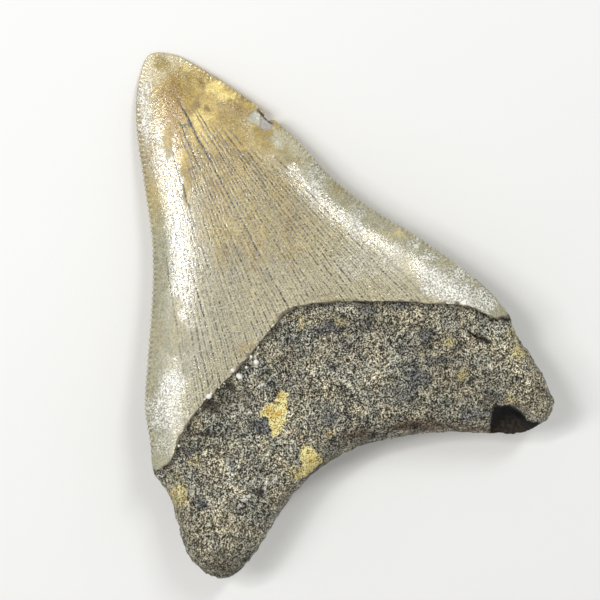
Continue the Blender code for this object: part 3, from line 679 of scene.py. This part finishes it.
def inside(polygon, p):
    """Signed distance into a polygon: positive inside it."""
    corners = np.array(polygon, float)
    within = np.zeros(len(p), bool)
    distance = np.full(len(p), np.inf)
    for a, b in zip(corners, np.roll(corners, -1, 0)):
        crosses = (a[1] > p[:, 1]) != (b[1] > p[:, 1])
        at = a[0] + (p[:, 1] - a[1]) / (b[1] - a[1] + 1e-9) * (b[0] - a[0])
        within ^= crosses & (p[:, 0] < at)
        share = np.clip(((p[:, :2] - a) @ (b - a)) / ((b - a) @ (b - a)), 0, 1)
        distance = np.minimum(distance, np.linalg.norm(p[:, :2] - a - share[:, None] * (b - a), axis=1))
    return np.where(within, distance, -distance)


def carve_root(mesh):
    """Cuts the recess, the slit and the pits into the labial face, and marks where shade is painted in them.
    """
    p = in_plane(mesh)
    on_labial = read_field(mesh, "side") > -0.1
    labial = smooth_step((p[:, 2] + 6.2) / 1.5) * on_labial
    border = inside(RECESS, p) + 0.07 * ripple(p, 0.5, 2.2)
    recess = smooth_step((border + 0.1) / 0.42)
    depth = RECESS_DEPTH * recess * (1 + 0.25 * ripple(p, 1.2, 6.6))
    slit, _ = nearest_on(smooth_line(SLIT), p)
    cut = 0.9 * smooth_step((0.34 + 0.22 * ripple(p, 0.7, 1.7) - slit) / 0.26)
    for x, y, radius, deep in PITS:
        cut += deep * smooth_step((radius * 1.15 - np.hypot(p[:, 0] - x, p[:, 1] - y)) / radius)
    p[:, 2] -= (depth + cut) * labial
    put_in_plane(mesh, p)
    write_field(mesh, "recess", smooth_step((border + 0.15) / 0.35) * on_labial)
    write_field(mesh, "hollow_shade", smooth_step(cut / 0.5) * on_labial)
    top, _ = nearest_on(smooth_line(RECESS_TOP), p)
    write_field(mesh, "recess_floor", smooth_step((top - 1.0) / 1.1))


def roughen(piece, weights):
    """Displaces the surface by layers of cloud textures, as far as the weights say."""
    group = piece.vertex_groups.new(name="rough")
    for i, weight in enumerate(weights):
        group.add([i], float(weight), "REPLACE")
    only(piece)
    for size, height in ROOT_LAYERS:
        clouds = bpy.data.textures.new("clouds", "CLOUDS")
        clouds.noise_scale = size * MM
        lumps = piece.modifiers.new("lumps", "DISPLACE")
        lumps.texture = clouds
        lumps.texture_coords = "LOCAL"
        lumps.strength = height * MM
        lumps.vertex_group = "rough"
        bpy.ops.object.modifier_apply(modifier=lumps.name)


def model_root(rim):
    """The root with the dark neck: it runs on a little under the enamel, and is rough up to its end."""
    piece = merged_copy("root")
    _, labial = prepare(piece)
    mesh = piece.data
    delete_faces(piece, from_enamel_end(labial, face_middles(mesh)) > ROOT_UNDER_ENAMEL)
    p = in_plane(mesh)
    side, edge = read_field(mesh, "side"), read_field(mesh, "edge")
    under = from_enamel_end(side >= 0, p) > -0.05
    _, nearest = nearest_on(rim.line, p)
    at_rim = under & (edge > 0)
    p[at_rim] -= rim.out[nearest[at_rim]] * ROOT_INSET_AT_RIM
    p[under, 2] -= ENAMEL_THICKNESS * side[under]
    put_in_plane(mesh, p)
    smooth(piece)
    middles = face_middles(mesh)
    facing = vectors(mesh.polygons, "normal") @ np.array(FROM_PLANE)[:3, 2] > -0.3
    on_root = above(LABIAL_ENAMEL_END, middles) < 0.4
    divide_faces(piece, facing & on_root & (middles[:, 2] > FINE_ROOT_ABOVE))
    shape_rim(mesh, rim)
    carve_root(mesh)
    before = in_plane(mesh)
    side = read_field(mesh, "side")
    line = from_enamel_end(side >= 0, before)
    outward = vectors(mesh.vertices, "normal") @ np.array(FROM_PLANE)[:3, :3]
    uneven = 0.5 * ripple(before, 1.4, 5.2) + 0.3 * ripple(before, 0.5, 2.2)
    neck = smooth_step((above(LINGUAL_ROOT_TOP, before) + uneven) / 0.6) * smooth_step(-side / 0.6)
    write_field(mesh, "neck", neck)
    roughen(piece, smooth_step(0.3 - line) * (1 - 0.7 * neck))
    # The height that the lumps add, which the finish paints as shade in the hollows and light on the bumps.
    write_field(mesh, "relief", ((in_plane(mesh) - before) * outward).sum(1))
    # Painted shade on the root along the enamel's end.
    write_field(mesh, "root_shade_at_enamel", smooth_step((line + 1.5 + 0.7 * ripple(before, 1.6, 7.7)) / 1.3))
    keep_above_table(mesh)
    cap_open_end(piece, ROOT_WALL)
    write_stains(mesh, ROOT_SPOTS)
    write_ochre(mesh)
    return piece


def keep_above_table(mesh):
    for vertex in mesh.vertices:
        vertex.co.z = max(vertex.co.z, TABLE_GAP * MM)


def scatter_grains(enamel):
    """Sand grains, set on the enamel where they stick, in one piece."""
    random.seed(5)
    p = in_plane(enamel.data)
    p = p[read_field(enamel.data, "side") > 0]
    grains = []
    for x, y, radius in GRAINS:
        near = np.argmin((p[:, 0] - x) ** 2 + (p[:, 1] - y) ** 2)
        place = FROM_PLANE @ Vector((x, y, float(p[near, 2]) - 0.25 * radius)) * MM
        bpy.ops.mesh.primitive_ico_sphere_add(subdivisions=2, radius=radius * MM, location=place)
        grain = bpy.context.object
        grain.scale = [random.uniform(0.75, 1.25) for _ in range(3)]
        grain.rotation_euler = [random.uniform(0, 6.3) for _ in range(3)]
        for vertex in grain.data.vertices:
            vertex.co *= 1 + 0.22 * noise.noise(vertex.co / (radius * MM) * 1.3 + Vector((x, y, 0)))
        grains.append(grain)
    only(grains[0])
    for grain in grains:
        grain.select_set(True)
    bpy.ops.object.join()
    bpy.ops.object.transform_apply(location=True, rotation=True, scale=True)
    grains[0].name = "sand_grains"
    return grains[0]


# ---------- the fields that the finishes read
def wandered(p, far, near):
    """The places shifted to and fro, so that whatever is drawn on them gets an uneven outline."""
    shifts = [far * ripple(p, 2.2, seed) + near * ripple(p, 0.7, seed + 4.0) for seed in (1.5, 21.5)]
    return p[:, :2] + np.stack(shifts, -1)


def stained(p, spots):
    """How strongly the spots colour each place, fading out at their borders."""
    c, s = math.cos(SPOT_TURN), math.sin(SPOT_TURN)
    field = np.zeros(len(p))
    for x, y, half_width, half_height, *weaker in spots:
        dx, dy = p[:, 0] - x, p[:, 1] - y
        out = np.hypot((dx * c - dy * s) / half_width, (dx * s + dy * c) / half_height)
        strength = weaker[0] if weaker else 1.0
        field = np.maximum(field, strength * (1.0 - smooth_step((out - 0.35) / 1.3)))
    return field


def write_ochre(mesh):
    """Marks the big ochre patches, with their ragged outlines."""
    p = in_plane(mesh)
    near = wandered(p, 0.25, 0.4)
    inner = np.maximum.reduce([inside(patch, near) for patch in OCHRE_PATCHES])
    write_field(mesh, "ochre_patch", smooth_step((inner + 0.25) / 0.6) * (read_field(mesh, "side") > 0))


def write_stains(mesh, tables):
    p = wandered(in_plane(mesh), 0.9, 0.7)
    on_labial = read_field(mesh, "side") > 0
    for name, spots in tables.items():
        write_field(mesh, name, stained(p, spots) * on_labial)


# ---------- finishes
def colour(red, green, blue):
    """A colour as it looks on a screen, from 0 to 255, made linear."""
    def linear(value):
        value /= 255
        return value / 12.92 if value <= 0.04045 else ((value + 0.055) / 1.055) ** 2.4

    return (*map(linear, (red, green, blue)), 1.0)


class Nodes:
    """Builds a material's nodes in few words. Every method gives back an output socket."""

    def __init__(self, name):
        self.material = bpy.data.materials.new(name)
        self.material.use_nodes = True
        self.tree = self.material.node_tree
        self.surface = self.tree.nodes["Principled BSDF"]

    def add(self, kind, values, out=0, **settings):
        node = self.tree.nodes.new("ShaderNode" + kind)
        for name, value in settings.items():
            setattr(node, name, value)
        for name, value in values.items():
            self.put(node.inputs[name], value)
        return node.outputs[out]

    def put(self, socket, value):
        if isinstance(value, bpy.types.NodeSocket):
            self.tree.links.new(value, socket)
        else:
            socket.default_value = value

    def math(self, operation, a, b=0.0, c=0.0):
        return self.add("Math", {0: a, 1: b, 2: c}, operation=operation)

    def rest(self, value):
        return self.math("SUBTRACT", 1.0, value)

    def scaled(self, value, factor, plus):
        return self.math("MULTIPLY_ADD", value, factor, plus)

    def product(self, first, *others):
        for other in others:
            first = self.math("MULTIPLY", first, other)
        return first

    def mix(self, share, a, b, blend="MIX"):
        """A mix of two colours."""
        return self.add("Mix", {0: share, 6: a, 7: b}, out=2, data_type="RGBA", blend_type=blend)

    def blend(self, share, a, b):
        """A mix of two numbers."""
        return self.add("Mix", {0: share, 2: a, 3: b}, data_type="FLOAT")

    def over(self, base, mask, amount, tint):
        """The base with a colour laid over it where the mask says so."""
        return self.mix(self.product(mask, amount), base, tint)

    def field(self, name):
        return self.add("Attribute", {}, out=2, attribute_name=name)

    def places(self):
        """Places in the tooth's own plane, in millimetres."""
        turn = {"Location": TO_PLANE.to_translation(), "Rotation": TO_PLANE.to_euler("XYZ")}
        return self.add("Mapping", {"Vector": self.local(), **turn, "Scale": (1 / MM,) * 3})

    def local(self):
        """Object coordinates, in metres."""
        return self.add("TexCoord", {}, out=3)

    def noise(self, where, size, detail=2.0, roughness=0.5, distortion=0.0):
        values = {"Vector": where, "Scale": 1 / size, "Detail": detail}
        return self.add("TexNoise", {**values, "Roughness": roughness, "Distortion": distortion})

    def cells(self, where, size, out=0):
        return self.add("TexVoronoi", {"Vector": where, "Scale": 1 / size}, out=out)

    def steps(self, value, low, high, to_low=0.0, to_high=1.0):
        """Goes from one number to the other with soft ends while the value goes from low to high."""
        ends = {"From Min": low, "From Max": high, "To Min": to_low, "To Max": to_high}
        return self.add("MapRange", {"Value": value, **ends}, interpolation_type="SMOOTHSTEP")

    def stretch(self, value, low, high):
        """Goes straight from 0 to 1 while the value goes from low to high."""
        return self.add("MapRange", {"Value": value, "From Min": low, "From Max": high})

    def ragged(self, name, by, low, high):
        """A field's mask with a border broken up by noise."""
        uneven = self.scaled(by, 0.8, self.math("ADD", self.field(name), -0.4))
        return self.steps(uneven, low, high)

    def times(self, base, factor):
        return self.mix(1.0, base, factor, "MULTIPLY")

    def bump(self, height, depth, under=None):
        values = {"Height": height, "Distance": depth * MM}
        if under:
            values["Normal"] = under
        return self.add("Bump", values)

    def finish(self, base, roughness, normal=None):
        self.put(self.surface.inputs["Base Color"], base)
        self.put(self.surface.inputs["Roughness"], roughness)
        if normal:
            self.put(self.surface.inputs["Normal"], normal)
        return self.material


def crack_lines(n, where):
    """How dark the hairline cracks make each place, and where it lies across their fan and along it. Each
    crack has its own start, strength and gaps."""
    apart = n.add("SeparateXYZ", {"Vector": where})
    x, y = apart, apart.node.outputs[1]
    narrowing = n.scaled(y, -FAN_NARROWING, 1 + FAN_NARROWING * FAN_HEIGHT)
    narrowing = n.math("MAXIMUM", narrowing, 0.25)
    wavy = n.scaled(n.noise(where, 4.0, 2.0), 0.6, -0.3)
    wavy = n.math("ADD", wavy, n.scaled(n.noise(where, 0.8, 1.0), 0.18, -0.09))
    across = n.math("DIVIDE", n.math("ADD", x, wavy), narrowing)
    low, high = CRACKS[0], CRACKS[-1]
    count = len(CRACKS) - 1
    curve = n.add("FloatCurve", {"Value": n.stretch(across, low, high)})
    line = curve.node.mapping.curves[0]
    places = [((u - low) / (high - low), i / count) for i, u in enumerate(CRACKS)]
    line.points[0].location, line.points[-1].location = places[0], places[-1]
    for place in places[1:-1]:
        line.points.new(*place)
    for point in line.points:
        point.handle_type = "VECTOR"
    curve.node.mapping.update()
    spot = n.product(curve, count)
    dark = None
    for copies, shift, width, depth, lower in CRACK_FAMILIES:
        number = n.scaled(spot, copies, shift)
        whole = n.math("ROUND", number)
        off = n.product(n.math("ABSOLUTE", n.math("SUBTRACT", number, whole)), narrowing, 1.1 / copies)
        seed = n.math("ADD", whole, 7.3 * copies + lower)
        own = n.add("TexWhiteNoise", {"W": seed}, noise_dimensions="1D")
        start = n.scaled(n.product(across, across), -0.085, CRACKS_START - lower)
        start = n.scaled(own, -7.0 * copies, start)
        begun = n.steps(n.math("SUBTRACT", start, y), 0.0, 3.5)
        beside = n.add("CombineXYZ", {"X": n.product(whole, 3.1), "Y": n.scaled(own, 37.0, y), "Z": 0.07})
        gaps = n.steps(n.noise(beside, 0.21, 0.0), 0.42, 0.54)
        long_gaps = n.steps(n.noise(beside, 4.0, 1.0), 0.34, 0.46, 0.35, 1.0)
        dotted = n.steps(y, 62.0, 50.0, 0.25, 0.75)
        kept = n.rest(n.product(dotted, n.rest(gaps)))
        strength = n.product(n.scaled(own, -0.4, 1.05), depth)
        mask = n.steps(off, width * 1.7, width * 0.4)
        mask = n.product(mask, begun, n.product(kept, strength), long_gaps)
        dark = mask if dark is None else n.math("MAXIMUM", dark, mask)
    inner = n.steps(n.math("ABSOLUTE", n.math("ADD", across, 1.0)), 16.0, 12.5)
    weaker_behind = n.steps(n.field("side"), -0.1, 0.1, 0.35, 1.0)
    fan = n.add("CombineXYZ", {"X": across, "Y": n.product(y, 0.06)})
    return n.product(dark, inner, weaker_behind), fan


def enamel_finish():
    n = Nodes("worn_enamel")
    n.put(n.surface.inputs["IOR"], 2.0)
    where = n.places()
    broad, middling = n.noise(where, 7.0, 4.0, 0.55), n.noise(where, 1.5, 3.0, 0.6)
    fine = n.noise(where, 0.26, 1.0, 0.6)
    # Aside and height are millimetres across the tooth and up to its tip.
    aside = n.add("SeparateXYZ", {"Vector": where})
    height = aside.node.outputs[1]
    cracks, fan = crack_lines(n, where)
    base = n.mix(n.steps(broad, 0.36, 0.64), colour(170, 156, 110), colour(185, 164, 97))
    left = n.product(n.steps(aside, -3.5, -9.0), n.steps(height, 60.0, 50.0))
    base = n.over(base, n.steps(height, 47.0, 34.0), 0.8, colour(192, 184, 149))
    base = n.over(base, left, 0.8, colour(180, 172, 138))
    blotches = n.noise(where, 2.3, 3.0, 0.6, 0.4)
    gold = n.mix(n.steps(blotches, 0.36, 0.62), colour(164, 134, 48), colour(212, 183, 94))
    base = n.over(base, n.steps(height, 49.0, 63.0), n.steps(aside, -8.0, -3.0, 0.35, 0.9), gold)
    pale = n.product(n.steps(aside, -3.0, -6.5), n.steps(height, 56.0, 62.0))
    base = n.over(base, pale, 0.7, colour(176, 166, 136))
    base = n.mix(n.steps(height, 71.0, 75.0, 0.0, 0.75), base, colour(224, 212, 178))
    base = n.times(base, n.steps(n.noise(fan, 0.5, 2.0, 0.6), 0.3, 0.7, 0.92, 1.07))
    thin = n.steps(height, 60.0, 49.0, 0.08, 0.75)
    base = n.over(base, n.steps(n.field("inward"), 4.2, 2.4), thin, colour(164, 162, 136))
    for name, tint, amount in (
        ("grey", colour(160, 158, 136), 0.6), ("tan", colour(158, 122, 42), 0.75),
        ("yellow", colour(250, 224, 134), 0.9), ("olive", colour(158, 134, 50), 0.8),
        ("brown", colour(138, 106, 26), 0.85), ("bleached", colour(196, 192, 164), 0.75),
        ("scratch", colour(76, 78, 64), 0.9),
        # White speckles painted as highlight sparkle on the rougher, hazy enamel spots.
        ("frost_and_painted_sparkle", n.mix(n.steps(fine, 0.4, 0.6), colour(142, 141, 128), colour(244, 244, 236)), 0.7),
    ):
        base = n.over(base, n.ragged(name, middling, 0.05, 0.95), amount, tint)
    base = n.times(base, n.steps(middling, 0.28, 0.72, 0.9, 1.1))
    base = n.times(base, n.steps(fine, 0.32, 0.68, 0.72, 1.2))
    # The chip's facets are painted lighter and darker as painted light and shade.
    facet = n.mix(n.field("chip_facet_light_and_shade"), colour(150, 144, 152), colour(205, 205, 184))
    facet = n.times(facet, n.steps(fine, 0.2, 0.8, 0.8, 1.2))
    base = n.over(base, n.field("chip"), 0.9, facet)
    # Painted shade in the crease where the facets meet.
    base = n.over(base, n.field("chip_crease_shade"), 0.9, colour(60, 54, 52))
    # Painted highlight: the saw teeth's crests are painted light as glints.
    base = n.over(base, n.field("crest"), 0.55, colour(240, 230, 202))
    # Painted shade in the grooves between the saw teeth.
    base = n.over(base, n.field("groove"), 0.85, colour(98, 82, 58))
    base = n.over(base, cracks, 0.96, colour(26, 21, 12))
    # Painted shade along the enamel's end, where it meets the root; the enamel is also rougher there.
    enamel_end_shade = n.ragged("enamel_end_shade", n.blend(0.6, middling, fine), 0.3, 0.75)
    base = n.over(base, enamel_end_shade, 0.85, n.mix(fine, colour(30, 26, 20), colour(128, 112, 84)))
    roughness = n.blend(n.steps(n.noise(where, 0.2, 0.0), 0.44, 0.6), 0.11, 0.28)
    roughness = n.blend(n.ragged("dull", middling, 0.1, 0.8), roughness, 0.6)
    roughness = n.blend(n.ragged("frost_and_painted_sparkle", middling, 0.1, 0.8), roughness, 0.34)
    roughness = n.blend(enamel_end_shade, roughness, 0.8)
    glitter = n.noise(where, 0.19, 1.0, 0.5)
    pits = n.steps(n.cells(where, 0.25), 0.05, 0.45)
    normal = n.bump(fine, 0.012)
    normal = n.bump(glitter, 0.018, normal)
    normal = n.bump(pits, 0.027, normal)
    normal = n.bump(n.rest(cracks), 0.006, normal)
    normal = n.bump(middling, 0.035, normal)
    return n.finish(base, roughness, normal)


def root_finish():
    n = Nodes("porous_root")
    where = n.places()
    broad, middling = n.noise(where, 5.0, 3.0, 0.55), n.noise(where, 1.2, 3.0, 0.6)
    grain = n.noise(where, 0.17, 1.0, 0.6)
    coarse = n.noise(where, 0.7, 3.0, 0.7, 0.6)
    crumbs = n.cells(where, 0.21, 1)
    salt = n.scaled(grain, 0.56, n.product(coarse, 0.2))
    salt = n.scaled(crumbs, 0.24, salt)
    dark = n.mix(n.steps(broad, 0.35, 0.65), colour(21, 20, 15), colour(42, 38, 27))
    light = n.mix(n.steps(broad, 0.35, 0.65), colour(218, 217, 200), colour(250, 240, 208))
    warm = n.noise(where, 0.9, 2.0, 0.6, 0.5)
    light = n.over(light, n.steps(warm, 0.52, 0.68), 0.4, colour(204, 174, 114))
    light = n.over(light, n.steps(warm, 0.46, 0.32), 0.45, colour(158, 160, 136))
    for name, low, high, amount in (
        ("blue", colour(24, 27, 32), colour(124, 130, 138), 0.68),
        ("rust", colour(34, 25, 18), colour(146, 112, 84), 0.85),
        # The dark spots are mostly painted shade in the pits and along the enamel's end.
        ("dark", colour(12, 11, 9), colour(88, 80, 66), 0.85),
    ):
        mask = n.ragged(name, n.blend(0.5, middling, grain), 0.3, 0.92)
        dark, light = n.over(dark, mask, amount, low), n.over(light, mask, amount, high)
    clumps = n.noise(where, 2.4, 3.0, 0.6, 0.6)
    speckle = n.stretch(n.scaled(clumps, 0.1, n.math("ADD", salt, -0.05)), 0.462, 0.582)
    base = n.mix(n.math("POWER", speckle, 1.4), dark, light)
    # Painted shade in the hollows of the relief and painted light on its bumps.
    base = n.times(base, n.steps(n.field("relief"), -0.28, 0.16, 0.52, 1.1))
    base = n.times(base, n.steps(middling, 0.32, 0.66, 0.78, 1.15))
    # Painted shade in the dim spots and painted light in the lit spots.
    base = n.times(base, n.blend(n.field("dim"), 1.0, 0.58))
    base = n.times(base, n.blend(n.field("lit"), 1.0, 1.34))
    amber = n.mix(n.steps(middling, 0.5, 0.64), colour(255, 242, 172), colour(242, 210, 118))
    for name, low, high, amount in (
        ("ochre", colour(96, 80, 40), amber, 0.6),
        ("pale", colour(150, 146, 134), colour(255, 252, 244), 0.6),
        ("ochre_patch", colour(112, 92, 42), amber, 1.0),
    ):
        mask = n.ragged(name, n.blend(0.6, middling, grain), 0.28, 0.85)
        base = n.over(base, mask, amount, n.mix(n.stretch(salt, 0.428, 0.505), low, high))
    # Painted shade on the root along the enamel's end.
    base = n.over(base, n.ragged("root_shade_at_enamel", coarse, 0.45, 1.0), 0.7, n.times(base, colour(120, 116, 108)))
    # Painted shade in the slit and the pits.
    base = n.over(base, n.field("hollow_shade"), 0.9, colour(22, 20, 17))
    # The recess is painted dark brown inside, and black along its top wall as a painted shadow.
    recess = n.mix(n.steps(coarse, 0.42, 0.62), colour(14, 11, 7), colour(56, 43, 28))
    recess = n.mix(n.field("recess_floor"), colour(9, 8, 6), recess)
    base = n.mix(n.field("recess"), base, recess)
    neck = n.mix(n.steps(n.noise(where, 0.9, 3.0, 0.6), 0.35, 0.65), colour(52, 44, 32), colour(104, 92, 68))
    neck = n.mix(n.steps(grain, 0.4, 0.7, 0.0, 0.6), neck, colour(150, 138, 110))
    base = n.mix(n.field("neck"), base, neck)
    normal = n.bump(salt, 0.2)
    normal = n.bump(coarse, 0.16, normal)
    return n.finish(base, n.blend(n.field("neck"), n.blend(salt, 0.95, 0.7), 0.45), normal)


def sand_finish():
    n = Nodes("pale_sand")
    where = n.places()
    base = n.mix(n.noise(where, 0.4, 2.0), colour(240, 236, 224), colour(255, 255, 252))
    return n.finish(base, 0.6, n.bump(n.noise(where, 0.12, 2.0), 0.03))


# ---------- camera, lights and floor
def add_camera():
    camera = bpy.data.cameras.new("camera")
    holder = put_in_scene("camera", camera)
    camera.angle = 2 * math.atan(CAMERA_WIDTH / 2 / CAMERA_DISTANCE)
    camera.clip_start = 0.01
    target = (FROM_PLANE @ Vector(CAMERA_TARGET)) * MM
    turn = FROM_PLANE.to_3x3().to_4x4() @ Matrix.Rotation(-CAMERA_ROLL, 4, "Z")
    away = FROM_PLANE.to_3x3() @ Vector((0, 0, CAMERA_DISTANCE * MM))
    holder.matrix_world = Matrix.Translation(target + away) @ turn
    bpy.context.scene.camera = holder


def add_softbox(name, place, turn, distance, size, power, tint):
    """A soft light that looks at the middle of the camera's view."""
    light = bpy.data.lights.new(name, "AREA")
    light.shape = "RECTANGLE"
    light.size, light.size_y = size
    light.energy = power
    light.color = tint
    holder = put_in_scene(name, light)
    lean = math.radians(math.hypot(*place))
    sideways = Vector((*place, 0.0)).normalized()
    away = sideways * math.sin(lean) + Vector((0, 0, math.cos(lean)))
    down = sideways * math.cos(lean) - Vector((0, 0, math.sin(lean)))
    along = Matrix.Rotation(math.radians(turn), 3, away) @ down
    stand = FROM_PLANE.to_3x3() @ Matrix((along, away.cross(along), away)).transposed()
    middle = (FROM_PLANE @ (Vector(CAMERA_TARGET) + away * distance / MM)) * MM
    holder.matrix_world = Matrix.Translation(middle) @ stand.to_4x4()


def add_room():
    bpy.ops.mesh.primitive_plane_add(size=FLOOR_SIZE, location=(0, 0, 0))
    floor = bpy.context.object
    floor.name = "floor"
    n = Nodes("pale_table")
    base = n.mix(n.noise(n.local(), 0.05, 3.0), colour(246, 246, 245), colour(251, 251, 250))
    floor.data.materials.append(n.finish(base, 0.75))
    world = bpy.data.worlds.new("studio")
    bpy.context.scene.world = world
    world.use_nodes = True
    sky = world.node_tree.nodes["Background"]
    sky.inputs["Color"].default_value = SKY_COLOUR
    sky.inputs["Strength"].default_value = SKY_STRENGTH
    for name, settings in WINDOWS.items():
        add_softbox(name, *settings)
    bpy.context.scene.view_settings.view_transform = "Standard"


enamel, rim = model_enamel()
root = model_root(rim)
sand = scatter_grains(enamel)
for piece, finish in ((enamel, enamel_finish()), (root, root_finish()), (sand, sand_finish())):
    for face in piece.data.polygons:
        face.use_smooth = True
    piece.data.materials.append(finish)
    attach(piece, "root")
    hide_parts("tooth")

add_camera()
add_room()
